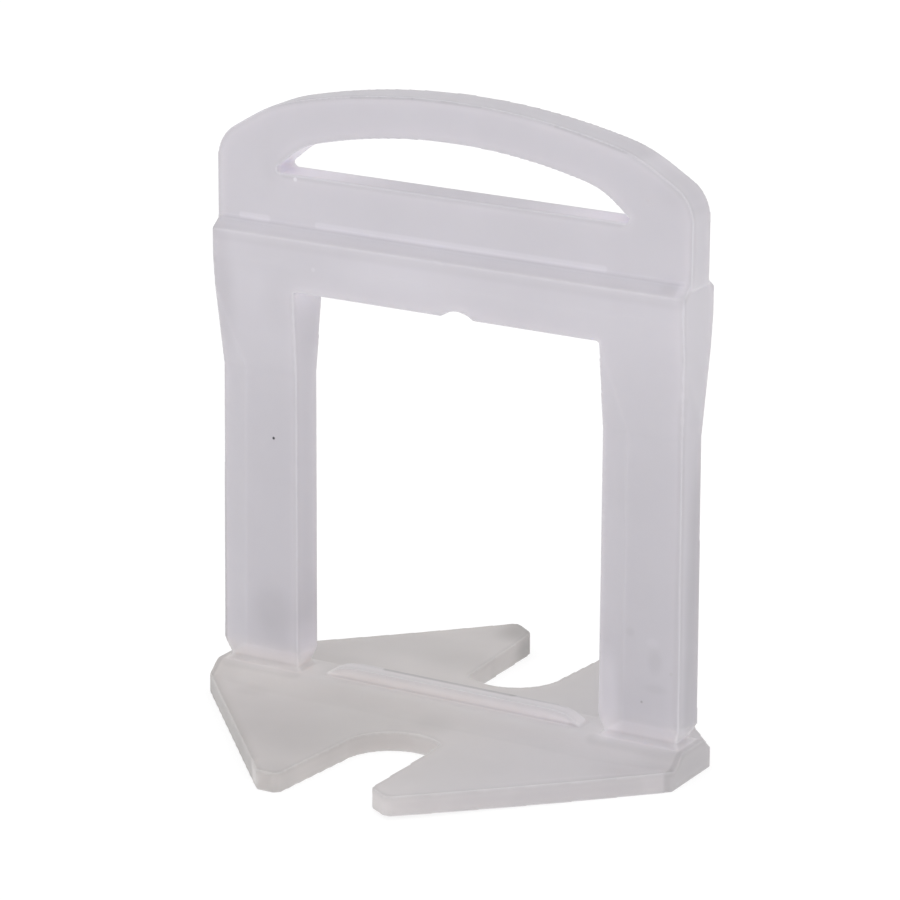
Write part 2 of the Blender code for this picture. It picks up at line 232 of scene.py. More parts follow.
class PlateTree:
    """Geometry Nodes tree that fills a closed outline and gives it a thickness.

    Its input mesh is the bare outline, and its named inputs are Thickness and Plastic.
    """

    def __init__(self) -> None:
        """Builds the tree."""
        self.group = bpy.data.node_groups.new("moulded_plate", "GeometryNodeTree")
        face = self.group.interface
        face.new_socket("Geometry", in_out="INPUT", socket_type="NodeSocketGeometry")
        size = face.new_socket("Thickness", in_out="INPUT", socket_type="NodeSocketFloat")
        self.thickness = size.identifier
        face.new_socket("Plastic", in_out="INPUT", socket_type="NodeSocketMaterial")
        face.new_socket("Geometry", in_out="OUTPUT", socket_type="NodeSocketGeometry")
        sheet = NodeSheet(self.group)
        given = sheet.add("NodeGroupInput")
        rim = sheet.add("GeometryNodeMeshToCurve", {"Mesh": given.outputs["Geometry"]})
        filled = sheet.add("GeometryNodeFillCurve", {"Curve": rim.outputs["Curve"]}, mode="TRIANGLES")
        back = sheet.add("GeometryNodeFlipFaces", {"Mesh": filled.outputs["Mesh"]})
        up = sheet.add("ShaderNodeCombineXYZ", {"Z": 1.0})
        thickness = given.outputs["Thickness"]
        raised = {"Mesh": filled.outputs["Mesh"], "Offset": up.outputs[0], "Offset Scale": thickness}
        walls = sheet.add("GeometryNodeExtrudeMesh", {**raised, "Individual": False}, mode="FACES")
        joined = sheet.add("GeometryNodeJoinGeometry")
        self.group.links.new(back.outputs["Mesh"], joined.inputs[0])
        self.group.links.new(walls.outputs["Mesh"], joined.inputs[0])
        seam = {"Geometry": joined.outputs[0], "Distance": WELD_DISTANCE}
        welded = sheet.add("GeometryNodeMergeByDistance", seam)
        half = sheet.math("MULTIPLY", thickness, -0.5)
        drop = sheet.add("ShaderNodeCombineXYZ", {"Z": half})
        lowered = {"Geometry": welded.outputs[0], "Offset": drop.outputs[0]}
        centred = sheet.add("GeometryNodeSetPosition", lowered)
        real = sheet.add("GeometryNodeRealizeInstances", {"Geometry": centred.outputs[0]})
        plastic = {"Geometry": real.outputs[0], "Material": given.outputs["Plastic"]}
        dressed = sheet.add("GeometryNodeSetMaterial", plastic)
        sheet.add("NodeGroupOutput", {"Geometry": dressed.outputs[0]})

    def make(
        self,
        name: str,
        outlines: Sequence[Sequence[Vector | Point2]],
        thickness: float,
        facing: Facing,
        offset: float = 0.0,
    ) -> bpy.types.Mesh:
        """Makes a closed plate.

        Args:
            name: Name of the mesh.
            outlines: The outer outline, then any holes, in the plate's own XY plane.
            thickness: Thickness across the outline.
            facing: How the plate is turned.
            offset: How far its middle lies along its own Z from the origin.

        Returns:
            A closed mesh in the clip's own axes.
        """
        rim = bpy.data.meshes.new(name + "_rim")
        points: list[Point3] = []
        edges: list[tuple[int, int]] = []
        for outline in outlines:
            first = len(points)
            count = len(outline)
            points += [(place[0], place[1], 0.0) for place in outline]
            edges += [(first + step, first + (step + 1) % count) for step in range(count)]
        rim.from_pydata(points, edges, [])
        holder = placed(name, rim)
        modifier = holder.modifiers.new("plate", "NODES")
        modifier.node_group = self.group
        modifier[self.thickness] = thickness
        mesh = baked(holder, name)
        mesh.transform(facing.matrix() @ Matrix.Translation((0.0, 0.0, offset)))
        return mesh


def placed(name: str, data: bpy.types.ID) -> bpy.types.Object:
    """Makes an object and puts it into the scene.

    Args:
        name: Name of the object.
        data: Its mesh, light or camera.

    Returns:
        The new object.
    """
    made = bpy.data.objects.new(name, data)
    bpy.context.scene.collection.objects.link(made)
    return made


def baked(holder: bpy.types.Object, name: str) -> bpy.types.Mesh:
    """Turns an object's evaluated shape into a plain mesh and removes the object.

    Args:
        holder: The object to read, with its modifiers.
        name: Name of the new mesh.

    Returns:
        The plain mesh.
    """
    bpy.context.view_layer.update()
    evaluated = holder.evaluated_get(bpy.context.evaluated_depsgraph_get())
    mesh = bpy.data.meshes.new_from_object(evaluated)
    mesh.name = name
    bpy.data.objects.remove(holder, do_unlink=True)
    return mesh


def cut(blank: bpy.types.Mesh, cutter: bpy.types.Mesh, operation: str, name: str) -> bpy.types.Mesh:
    """Cuts one blank with another.

    Args:
        blank: The blank to cut.
        cutter: The blank to cut it with.
        operation: Blender's name of the Boolean operation.
        name: Name of the new mesh.

    Returns:
        The cut blank.
    """
    holder, knife = placed(blank.name, blank), placed(cutter.name, cutter)
    modifier = holder.modifiers.new(name, "BOOLEAN")
    modifier.operation = operation
    modifier.solver = "EXACT"
    modifier.object = knife
    mesh = baked(holder, name)
    bpy.data.objects.remove(knife, do_unlink=True)
    return mesh


def lofted(name: str, rings: Sequence[Sequence[Point3]]) -> bpy.types.Mesh:
    """Makes a closed body through rings that have as many corners each.

    Args:
        name: Name of the mesh.
        rings: Corners of each section, listed from the lowest section to the highest.

    Returns:
        A closed mesh.
    """
    form = bmesh.new()
    layers = [[form.verts.new(point) for point in ring] for ring in rings]
    count = len(layers[0])
    for lower, upper in zip(layers, layers[1:]):
        for index in range(count):
            following = (index + 1) % count
            form.faces.new((lower[index], lower[following], upper[following], upper[index]))
    form.faces.new(list(reversed(layers[0])))
    form.faces.new(layers[-1])
    bmesh.ops.triangulate(form, faces=form.faces)
    bmesh.ops.recalc_face_normals(form, faces=form.faces)
    mesh = bpy.data.meshes.new(name)
    form.to_mesh(mesh)
    form.free()
    return mesh


@dataclass
class BasePlate:
    """The thin plate under the tiles: a hook and a foot with a notch between them, front and back."""

    thickness: float = 1.5 * MM
    length: float = 38.96 * MM
    end_to_hook: float = 3.1 * MM
    back_end_to_hook: float = 4.7 * MM
    end_to_foot: float = 2.65 * MM
    hook_reach: float = 18.2 * MM
    hook_tip_offset: float = 5.0 * MM
    hook_tip_width: float = 1.85 * MM
    hook_tip_slant: float = 1.2 * MM
    hook_root_overlap: float = 1.3 * MM
    hook_side_draft: float = 0.3 * MM
    flat_reach: float = 3.0 * MM
    front_hook_lift: float = 0.30 * MM
    back_hook_lift: float = 0.30 * MM
    foot_reach: float = 17.65 * MM
    foot_tip_offset: float = 4.1 * MM
    foot_tip_width: float = 1.75 * MM
    notch_radius: float = 3.75 * MM
    notch_offset: float = 0.3 * MM
    notch_to_axis: float = 5.85 * MM
    tip_rounding: float = 0.7 * MM
    corner_rounding: float = 0.5 * MM

    def outline(self) -> list[Vector]:
        """Draws the plate from above, the front half first and then the same by half a turn."""
        half = self.length / 2
        side = self.notch_offset + self.notch_radius - self.hook_root_overlap
        centre_y = -(self.notch_to_axis + self.notch_radius)
        root = math.acos((self.notch_radius - self.hook_root_overlap) / self.notch_radius)
        tip_x = self.hook_tip_offset - self.hook_tip_width
        corners: list[Corner] = [
            (half, -self.end_to_hook, self.corner_rounding),
            (self.hook_tip_offset, -self.hook_reach, self.tip_rounding),
            (tip_x, -self.hook_reach + self.hook_tip_slant, self.tip_rounding),
            (side + self.hook_side_draft, -self.hook_reach + 2 * self.hook_tip_slant, 0.0),
        ]
        steps = math.ceil((math.pi - root) / ARC_STEP)
        for step in range(steps + 1):
            angle = root + (math.pi - root) * step / steps
            x = self.notch_offset + self.notch_radius * math.cos(angle)
            corners.append((x, centre_y + self.notch_radius * math.sin(angle), 0.0))
        corners += [
            (-self.foot_tip_offset, -self.foot_reach, self.tip_rounding),
            (-self.foot_tip_offset - self.foot_tip_width, -self.foot_reach, self.corner_rounding),
            (-half, -self.end_to_foot, self.corner_rounding),
        ]
        back = half_turned(corners)
        back[0] = (-half, self.back_end_to_hook, self.corner_rounding)
        return rounded(corners + back)

    def lift(self, x: float, y: float, z: float) -> float:
        """Gives how far the front hook has warped up off the floor, and the back hook's top has.

        Args:
            x: Place across the clip.
            y: Place from front to back.
            z: Height before the warp.

        Returns:
            The lift, nothing along the middle and most at the hooks' tips.
        """
        reach = max(0.0, abs(y) - self.flat_reach) / (self.hook_reach - self.flat_reach)
        hook = self.front_hook_lift if y < 0.0 else self.back_hook_lift
        side = math.copysign(abs(x), -x * y)
        share = min(1.0, max(0.0, 0.5 + side / (2 * self.foot_tip_offset)))
        lift = reach**2 * hook * share
        return lift if y < 0.0 else lift * min(1.0, max(0.0, z / self.thickness))

    def build(self, tree: PlateTree) -> bpy.types.Mesh:
        """Makes the plate, its underside at z = 0."""
        return tree.make("base_plate", [self.outline()], self.thickness, Facing.LYING, self.thickness / 2)


@dataclass
class Ridge:
    """The low swell along the plate on which the legs and the joint rib stand."""

    plate: BasePlate
    height: float = 0.92 * MM
    top_width: float = 2.8 * MM
    foot_width: float = 8.0 * MM
    end_width: float = 5.8 * MM
    narrowing: float = 6.5 * MM
    flank_segments: int = 12
    stations: int = 40

    @property
    def top(self) -> float:
        """Height of the ridge's flat top over the floor."""
        return self.plate.thickness + self.height

    def section(self, x: float) -> list[Point3]:
        """Draws the swell's section, which gets narrower towards the ends.

        Args:
            x: Place across the clip.

        Returns:
            The section's points, from the top of one flank down, under the swell and up the other.
        """
        near_end = (abs(x) - self.plate.length / 2 + self.narrowing) / self.narrowing
        near_end = min(1.0, max(0.0, near_end))
        top = self.top_width / 2
        foot = (self.foot_width - (self.foot_width - self.end_width) * near_end**2) / 2
        front: list[Point3] = []
        for step in range(self.flank_segments + 1):
            share = step / self.flank_segments
            rise = (1 + math.cos(math.pi * share)) / 2
            front.append((x, -top - (foot - top) * share, self.plate.thickness + self.height * rise))
        front.append((x, -foot, self.plate.thickness - JOIN_DEPTH))
        return front + [(x, -y, z) for x, y, z in reversed(front)]

    def build(self, tree: PlateTree) -> bpy.types.Mesh:
        """Makes the ridge, cut off along the plate's outline.

        Args:
            tree: The tree that makes plates.

        Returns:
            The ridge's blank.
        """
        reach = self.plate.length / 2 + CUT_MARGIN
        places = [reach * (2 * step / self.stations - 1) for step in range(self.stations + 1)]
        swell = lofted("swell", [self.section(x) for x in places])
        bounds = tree.make("bounds", [self.plate.outline()], 4 * self.top, Facing.LYING)
        return cut(swell, bounds, "INTERSECT", "ridge")


@dataclass
class JointRib:
    """The rib between the legs that sets the joint's width, each end running out in an arc."""

    ridge: Ridge
    height: float = 0.88 * MM
    width: float = 1.2 * MM
    length: float = 21.4 * MM
    run_out: float = 2.4 * MM
    arc_segments: int = 16

    def build(self, tree: PlateTree) -> bpy.types.Mesh:
        """Makes the rib.

        Args:
            tree: The tree that makes plates.

        Returns:
            The rib's blank.
        """
        half, top = self.length / 2, self.ridge.top + self.height
        radius = (self.run_out**2 + self.height**2) / (2 * self.height)
        lean = math.acos(1 - (self.height + JOIN_DEPTH) / radius)
        arc: list[Point2] = []
        for step in range(self.arc_segments + 1):
            angle = lean * (1 - step / self.arc_segments)
            x = half - self.run_out + radius * math.sin(angle)
            arc.append((x, top - radius + radius * math.cos(angle)))
        outline = arc + [(-x, z) for x, z in reversed(arc)]
        return tree.make("joint_rib", [outline], self.width, Facing.FRONT)


@dataclass
class Crossbar:
    """The bar over the wedge window, thickest at its face, with a sloping ledge under the handle."""

    window_top: float = 31.54 * MM
    width: float = 38.3 * MM
    thickness: float = 4.56 * MM
    leg_thickness: float = 2.84 * MM
    taper_foot: float = 25.12 * MM
    taper: float = 2.18 * MM
    face: float = 1.8 * MM
    ledge_height: float = 0.73 * MM
    ledge_inner: float = 2.6 * MM
    notch_width: float = 2.6 * MM
    notch_depth: float = 0.5 * MM
    notch_offset: float = 1.1 * MM

    @property
    def shoulder(self) -> float:
        """Height at which the frame reaches its full thickness."""
        return self.window_top + self.taper

    @property
    def ledge_foot(self) -> float:
        """Height of the ledge's outer edge."""
        return self.shoulder + self.face

    @property
    def ledge_top(self) -> float:
        """Height at which the ledge meets the handle."""
        return self.ledge_foot + self.ledge_height

    def half_thickness(self, z: float) -> float:
        """Gives half the frame's thickness at a height where it widens from the legs to the crossbar."""
        slope = (self.thickness - self.leg_thickness) / 2 / (self.shoulder - self.taper_foot)
        return self.leg_thickness / 2 + slope * (z - self.taper_foot)

    def notch_arc(self) -> list[Point2]:
        """Draws the shallow round notch in the bar's underside, as a circle that reaches below it."""
        half = self.notch_width / 2
        radius = (half**2 + self.notch_depth**2) / (2 * self.notch_depth)
        centre_z = self.window_top + self.notch_depth - radius
        steps = math.ceil(math.tau / ARC_STEP)
        arc: list[Point2] = []
        for step in range(steps):
            angle = math.tau * step / steps
            arc.append((self.notch_offset + radius * math.cos(angle), centre_z + radius * math.sin(angle)))
        return arc

    def build(self, tree: PlateTree) -> bpy.types.Mesh:
        """Makes the bar from its side profile, and cuts the notch.

        Args:
            tree: The tree that makes plates.

        Returns:
            The bar's blank.
        """
        body, handle = self.thickness / 2, self.ledge_inner / 2
        under = self.half_thickness(self.window_top)
        slope = self.ledge_height / (body - handle)
        inside = (-handle + JOIN_DEPTH, self.ledge_top + JOIN_DEPTH * slope)
        front = [inside, (-body, self.ledge_foot), (-body, self.shoulder), (-under, self.window_top)]
        profile = front + [(-y, z) for y, z in reversed(front)]
        bar = tree.make("bar", [profile], self.width, Facing.SIDE)
        depth = self.thickness + 2 * CUT_MARGIN
        notch = tree.make("notch", [self.notch_arc()], depth, Facing.FRONT)
        return cut(bar, notch, "DIFFERENCE", "crossbar")


@dataclass
class Leg:
    """A bevelled leg with its flared foot and the neck at which it snaps off."""

    ridge: Ridge
    crossbar: Crossbar
    width: float = 6.95 * MM
    window_width: float = 24.9 * MM
    bevel_width: float = 2.27 * MM
    bevel_depth: float = 0.55 * MM
    side_draft: float = 0.37 * MM
    neck_lift: float = 0.3 * MM
    neck_rise: float = 1.2 * MM
    neck_side_cut: float = 0.6 * MM
    neck_face_cut: float = 0.45 * MM
    foot_flare: float = 0.6 * MM
    foot_spread: float = 0.17 * MM

    def section(
        self, z: float, outer: float, inner: float, half: float, bevel: float = 0.0, draft: float = 0.0
    ) -> list[Point3]:
        """Gives the left leg's corners at a height, from its outer front corner on round its front.

        Args:
            z: Height of the section.
            outer: X of its outer side.
            inner: X of its side towards the window.
            half: Half its thickness.
            bevel: Depth of the two bevels.
            draft: How far the two plain corners stand in.

        Returns:
            Six corners.
        """
        return [
            (outer, -half + bevel, z),
            (outer + self.bevel_width, -half, z),
            (inner - draft, -half, z),
            (inner, half - bevel, z),
            (inner - self.bevel_width, half, z),
            (outer + draft, half, z),
        ]

    def build(self, name: str, turn: float) -> bpy.types.Mesh:
        """Lofts the leg through its sections.

        Args:
            name: Name of the mesh.
            turn: Turn about the clip's upright axis.

        Returns:
            The leg's blank.
        """
        bar = self.crossbar
        shaft = bar.leg_thickness / 2
        outer = -bar.width / 2
        inner = outer + self.width
        side = -self.window_width / 2
        neck_z = self.ridge.top + self.neck_lift
        neck_outer, neck_inner = outer + self.neck_side_cut, inner - self.neck_side_cut
        neck_half = shaft - self.neck_face_cut
        flare, spread = self.foot_flare, outer - self.foot_spread
        sunk = self.ridge.top - JOIN_DEPTH
        bevel = (self.bevel_depth, self.side_draft)
        rings = [
            self.section(sunk, neck_outer - flare, neck_inner + flare, neck_half + flare),
            self.section(neck_z, neck_outer, neck_inner, neck_half),
            self.section(neck_z + self.neck_rise, spread, inner, shaft, *bevel),
            self.section(bar.taper_foot, outer, inner, shaft, *bevel),
            self.section(bar.window_top, outer, side, bar.half_thickness(bar.window_top)),
            self.section(bar.window_top + JOIN_DEPTH, outer + JOIN_DEPTH, side - JOIN_DEPTH, shaft),
        ]
        mesh = lofted(name, rings)
        mesh.transform(Matrix.Rotation(turn, 4, "Z"))
        return mesh


@dataclass
class Handle:
    """The arched handle over the crossbar, with its finger slot."""

    crossbar: Crossbar
    thickness: float = 2.6 * MM
    overhang: float = 0.1 * MM
    sill: float = 3.74 * MM
    shoulder_height: float = 5.9 * MM
    shoulder_radius: float = 3.0 * MM
    haunch_radius: float = 11.5 * MM
    haunch_run: float = 6.5 * MM
    haunch_tangent: float = 1.9 * MM
    arch_radius: float = 54.8 * MM
    arch_band: float = 3.03 * MM
    slot_length: float = 28.5 * MM
    slot_height: float = 3.89 * MM
    slot_arch_radius: float = 43.1 * MM
    slot_haunch_run: float = 3.9 * MM
    slot_haunch_tangent: float = 1.8 * MM
    slot_haunch_radius: float = 6.0 * MM
    slot_end_height: float = 0.42 * MM
    slot_end_radius: float = 0.3 * MM

    @property
    def slot_floor(self) -> float:
        """Height of the slot's level floor."""
        return self.crossbar.ledge_top + self.sill

    @property
    def crown(self) -> float:
        """Height of the clip's top."""
        return self.slot_floor + self.slot_height + self.arch_band

    def rim(self) -> list[Vector]:
        """Draws the handle's outer edge."""
        bar = self.crossbar
        half = bar.width / 2 + self.overhang
        foot = (bar.ledge_foot + bar.ledge_top) / 2
        shoulder = bar.ledge_top + self.shoulder_height
        corners: list[Corner] = [(-half, foot, 0.0), (half, foot, 0.0)]
        corners.append((half, shoulder, self.shoulder_radius))
        span = half - self.haunch_run
        corners += arch(self.crown, self.arch_radius, span, self.haunch_tangent, self.haunch_radius)
        corners.append((-half, shoulder, self.shoulder_radius))
        return rounded(corners)

    def slot(self) -> list[Vector]:
        """Draws the finger slot."""
        half, floor = self.slot_length / 2, self.slot_floor
        side, radius = floor + self.slot_end_height, self.slot_end_radius
        corners: list[Corner] = [(-half, floor, radius), (half, floor, radius), (half, side, radius)]
        span = half - self.slot_haunch_run
        crown, end = floor + self.slot_height, (self.slot_haunch_tangent, self.slot_haunch_radius)
        corners += arch(crown, self.slot_arch_radius, span, *end)
        corners.append((-half, side, radius))
        return rounded(corners)

    def build(self, tree: PlateTree) -> bpy.types.Mesh:
        """Makes the handle with its slot."""
        return tree.make("handle", [self.rim(), self.slot()], self.thickness, Facing.FRONT)


@dataclass(frozen=True)
class Band:
    """A smooth step of tone along one measure, which is in millimetres."""

    low: float
    high: float
    start: float = 0.0
    end: float = 1.0

    def factor(self, sheet: NodeSheet, measure: bpy.types.NodeSocket) -> bpy.types.NodeSocket:
        """Gives the tone at a measure."""
        return sheet.ramp(measure, self.low * MM, self.high * MM, self.start, self.end)


@dataclass(frozen=True)
class Fleck:
    """A small round mark in or on the plastic, in millimetres."""

    CORE: ClassVar[float] = 0.5
    place: Point3
    radius: float
    tint: Colour
    strength: float = 1.0


@dataclass(frozen=True)
class ToneAndShadeCloud:
    """A soft patch painted lighter or darker, in millimetres: a few are the milky plastic's own
    cloudiness, most are painted light and shade.
    """

    CORE: ClassVar[float] = 0.25
    centre: Point3
    reach: Point3
    shade: float

    def factor(self, sheet: NodeSheet, place: bpy.types.NodeSocket) -> bpy.types.NodeSocket:
        """Gives the patch's shade, 1 outside it.

        Args:
            sheet: The sheet to add nodes to.
            place: Coordinates to read.

        Returns:
            The factor's socket.
        """
        scale = tuple(1.0 / (reach * MM) for reach in self.reach)
        shift = tuple(-centre / reach for centre, reach in zip(self.centre, self.reach))
        local = sheet.vector("MULTIPLY_ADD", place, scale, shift)
        apart = sheet.vector("LENGTH", local.outputs["Vector"])
        return sheet.ramp(apart.outputs["Value"], self.CORE, 1.0, self.shade, 1.0)


@dataclass(frozen=True)
class ToneAndShadeLine:
    """A thin soft line painted lighter or darker along a moulded edge or crease, in millimetres: mostly
    painted light in creases and painted shade on edges and walls.
    """

    CORE: ClassVar[float] = 0.4
    start: Point3
    end: Point3
    width: float
    shade: float

    def factor(self, sheet: NodeSheet, place: bpy.types.NodeSocket) -> bpy.types.NodeSocket:
        """Gives the streak's shade, 1 away from it.

        Args:
            sheet: The sheet to add nodes to.
            place: Coordinates to read.

        Returns:
            The factor's socket.
        """
        start, end = Vector(self.start) * MM, Vector(self.end) * MM
        run = end - start
        along = tuple(run / run.length_squared)
        offset = sheet.vector("SUBTRACT", place, tuple(start)).outputs["Vector"]
        share = sheet.vector("DOT_PRODUCT", offset, along)
        kept = sheet.math("ADD", share.outputs["Value"], 0.0, clamp=True)
        nearest = sheet.scaled(tuple(run), kept)
        apart = sheet.vector("DISTANCE", offset, nearest)
        width = self.width * MM
        return sheet.ramp(apart.outputs["Value"], width * self.CORE, width, self.shade, 1.0)


@dataclass(frozen=True)
class NaturalPolypropylene:
    """Milky unpigmented polypropylene, half matt from the mould; its colour also carries painted light and
    shade.
    """

    body: Colour = (0.612, 0.592, 0.632)
    foot: Colour = (0.600, 0.572, 0.566)
    right_foot: Colour = (0.603, 0.580, 0.598)
    foot_height: Band = Band(1.9, 5.0)
    foot_across: Band = Band(-4.0, 14.0)
    milkiness: float = 0.015
    roughness: float = 0.42
    roughness_change: float = 0.05
    noise_span: Point2 = (0.3, 0.7)
    milk_waves: float = 110.0
    patch_waves: float = 260.0
    grain_waves: float = 2600.0
    grain_strength: float = 0.05
    grain_depth: float = 0.02 * MM
    scatter_depth: float = 1.3 * MM
    scatter_colour: Colour = (1.0, 0.95, 0.9)
    gloss: float = 0.25
    refraction: float = 1.49
    # Painted light in creases, read from ambient occlusion.
    painted_crease_light: float = 1.42
    crease_reach: float = 4.0 * MM
    crease_air: Point2 = (0.35, 1.0)
    # Painted shade on sharp edges.
    painted_edge_shade: float = 0.88
    leg_edges: tuple[Band, Band] = (Band(3.0, 3.8, 1.0, 0.9), Band(20.0, 26.0, 0.9, 1.0))
    edge_reach: float = 0.7 * MM
    edge_air: Point2 = (0.5, 0.97)
    # Painted shade on the arch's upward-facing top.
    arch_radius: float = 54.8 * MM
    arch_centre: float = -7.9 * MM
    crown_depths: tuple[float, float] = (0.28 * MM, 0.10 * MM)
    painted_crown_shade: float = 0.91
    # Painted shade by height: the legs darker towards the floor, the feet a little lighter, the handle a
    # little darker.
    painted_height_shade: tuple[Band, ...] = (
        Band(20.0, 34.0, 0.900, 1.0),
        Band(3.5, 6.0, 1.02, 1.0),
        Band(36.0, 37.0, 1.0, 0.98),
    )
    # Painted shade on the sloping ledge under the handle.
    ledge_heights: tuple[Band, ...] = (Band(35.48, 35.58), Band(36.22, 36.34, 1.0, 0.0))
    ledge_end: Band = Band(18.1, 18.5, 1.0, 0.0)
    painted_ledge_shade: float = 0.93
    # Painted shade on the outer side faces, strongest low on the legs.
    end_depths: tuple[float, float] = (18.9 * MM, 19.12 * MM)
    painted_side_shade: Band = Band(18.0, 30.0, 0.84, 0.965)
    # Painted light on the window's inner sides, against the shade from the other leg.
    window_heights: tuple[Band, ...] = (Band(3.0, 4.5), Band(23.0, 30.0, 1.0, 0.0))
    window_side: Band = Band(12.35, 12.75, 1.0, 0.0)
    painted_window_light: float = 1.065
    # Painted light on the joint rib, against its shading.
    rib_heights: tuple[Band, ...] = (Band(2.46, 2.58), Band(3.6, 4.0, 1.0, 0.0))
    rib_side: Band = Band(10.4, 11.4, 1.0, 0.0)
    painted_rib_light: float = 1.07
    flecks: tuple[Fleck, ...] = (
        Fleck((-14.53, -1.38, 20.16), 0.15, (0.05, 0.05, 0.06)),
        Fleck((16.00, -1.38, 5.56), 0.13, (0.30, 0.29, 0.30), 0.6),
        Fleck((-8.07, -2.28, 35.66), 0.13, (0.12, 0.11, 0.12)),
        Fleck((-4.71, -0.77, 46.91), 0.13, (0.15, 0.14, 0.15)),
        Fleck((-12.66, -1.30, 39.70), 0.20, (0.74, 0.72, 0.76), 0.8),
        Fleck((-10.58, -2.28, 33.54), 0.20, (0.70, 0.68, 0.72), 0.4),
        Fleck((18.30, -1.35, 8.04), 0.20, (0.48, 0.47, 0.48), 0.5),
    )
    # Painted light and shade: most patches lighten the legs' feet and creases where shade falls and darken
    # walls and faces that catch more light; a few are the plastic's own cloudiness.
    tone_and_shade_clouds: tuple[ToneAndShadeCloud, ...] = (
        ToneAndShadeCloud((-6.5, -10.5, 1.5), (6.0, 5.0, 3.0), 0.925),
        ToneAndShadeCloud((-11.2, -11.7, 1.5), (2.0, 5.5, 3.0), 0.965),
        ToneAndShadeCloud((-4.6, -17.2, 1.0), (2.6, 2.4, 2.5), 0.950),
        ToneAndShadeCloud((-4.4, -18.0, 0.4), (2.0, 1.0, 1.5), 0.950),
        ToneAndShadeCloud((-3.0, -6.2, 1.2), (6.5, 4.0, 2.5), 0.950),
        ToneAndShadeCloud((-13.0, -2.3, 33.8), (6.0, 1.5, 2.4), 0.970),
        ToneAndShadeCloud((-14.0, -3.4, 2.0), (6.5, 4.5, 2.5), 1.075),
        ToneAndShadeCloud((-14.8, -4.3, 1.5), (1.7, 1.3, 2.0), 0.960),
        ToneAndShadeCloud((13.2, -3.6, 1.7), (5.5, 4.0, 1.2), 1.010),
        ToneAndShadeCloud((-6.4, 6.6, 1.7), (9.0, 2.6, 1.2), 1.050),
        ToneAndShadeCloud((7.0, -14.0, 1.0), (4.0, 3.5, 2.0), 1.025),
        ToneAndShadeCloud((17.6, -1.7, 35.96), (0.9, 0.8, 0.5), 0.950),
        ToneAndShadeCloud((13.3, -1.0, 14.0), (1.8, 2.0, 14.0), 1.040),
        ToneAndShadeCloud((-4.0, -2.3, 33.9), (7.0, 1.0, 2.2), 1.030),
        ToneAndShadeCloud((0.4, -3.9, 1.7), (2.4, 1.8, 2.0), 0.950),
        ToneAndShadeCloud((6.5, -4.7, 1.7), (8.0, 3.4, 2.0), 1.010),
        ToneAndShadeCloud((18.6, -1.6, 1.6), (3.6, 4.4, 2.0), 0.970),
        ToneAndShadeCloud((-13.5, -2.0, 30.5), (2.5, 2.0, 3.5), 0.965),
        ToneAndShadeCloud((4.9, -16.8, 1.0), (2.6, 3.6, 3.0), 1.060),
        ToneAndShadeCloud((-4.6, 9.0, 1.5), (5.0, 3.6, 2.0), 0.945),
        # Painted shade: the back hook's dark tip, where light is lost at the thin edge.
        ToneAndShadeCloud((-3.9, 17.2, 1.0), (2.5, 3.6, 3.0), 0.750),
        ToneAndShadeCloud((-3.3, 15.8, 0.6), (1.6, 2.6, 1.5), 0.870),
        ToneAndShadeCloud((-8.7, 13.8, 1.5), (6.0, 1.8, 2.0), 1.035),
        ToneAndShadeCloud((-14.8, -1.4, 6.9), (2.2, 2.0, 2.7), 0.940),
        ToneAndShadeCloud((-12.4, -0.4, 4.8), (1.7, 2.4, 2.4), 1.070),
        ToneAndShadeCloud((13.1, -1.0, 5.2), (1.7, 2.0, 4.8), 1.130),
        ToneAndShadeCloud((-15.6, -1.0, 3.7), (4.8, 1.9, 1.1), 1.040),
        ToneAndShadeCloud((15.6, -1.0, 3.7), (4.8, 1.9, 1.1), 0.990),
        ToneAndShadeCloud((15.0, -1.4, 10.6), (0.5, 1.0, 0.5), 0.950),
        ToneAndShadeCloud((17.0, -1.4, 8.7), (0.8, 1.0, 1.3), 0.945),
        ToneAndShadeCloud((17.1, -1.4, 6.7), (1.3, 1.0, 0.5), 0.955),
        ToneAndShadeCloud((16.8, -1.4, 10.1), (0.8, 1.0, 0.5), 1.035),
        ToneAndShadeCloud((18.2, 0.0, 43.0), (2.6, 3.0, 3.0), 0.940),
        ToneAndShadeCloud((-14.2, -0.3, 40.3), (2.0, 2.6, 1.6), 0.970),
        ToneAndShadeCloud((-19.4, -2.2, 31.0), (2.6, 4.0, 8.0), 0.890),
    )
